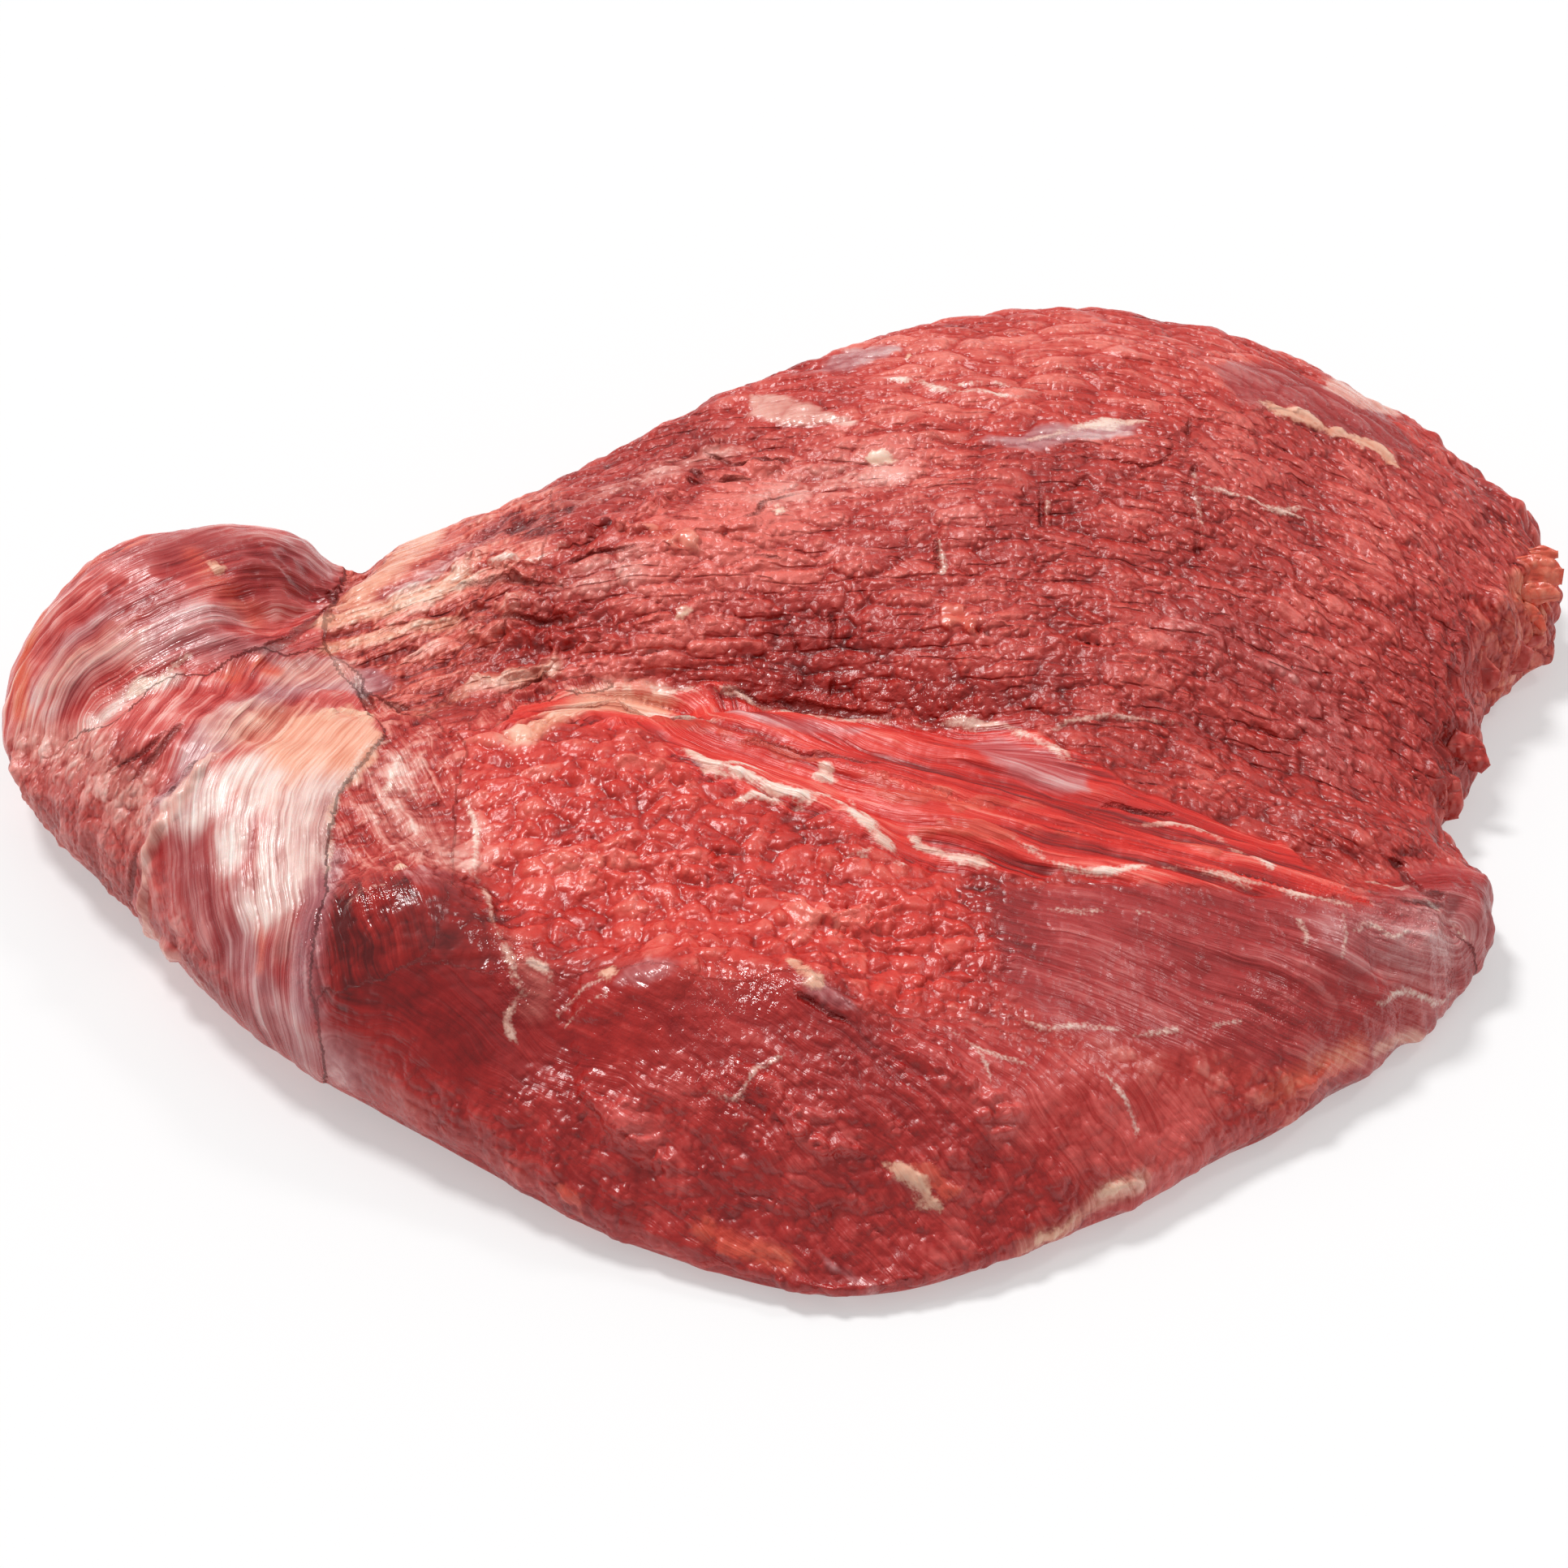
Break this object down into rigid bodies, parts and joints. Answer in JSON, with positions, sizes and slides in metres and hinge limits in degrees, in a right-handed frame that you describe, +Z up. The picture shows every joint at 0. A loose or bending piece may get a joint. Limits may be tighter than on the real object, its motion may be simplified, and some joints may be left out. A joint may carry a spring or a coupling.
{
  "type": "raw beef rib cap",
  "caption": "Raw trimmed beef rib cap lying flat: thick grained back muscle, granular front muscle, a fibrous seam between them, and a membrane-covered roll and knob at the left.",
  "frame": {"origin": "centre of the bounding box, on the surface that the cut rests on", "axes": "+X along the length, from the rolled knob to the thin flap; +Y from the thin front edge to the thick back muscle; +Z up"},
  "size_m": [0.3486, 0.3038, 0.0565],
  "materials": {
    "meat": "raw red meat, moist and slightly glossy, with pale fat and silverskin"
  },
  "bodies": {
    "root": {"rib_cap": "meat"}
  },
  "joints": []
}
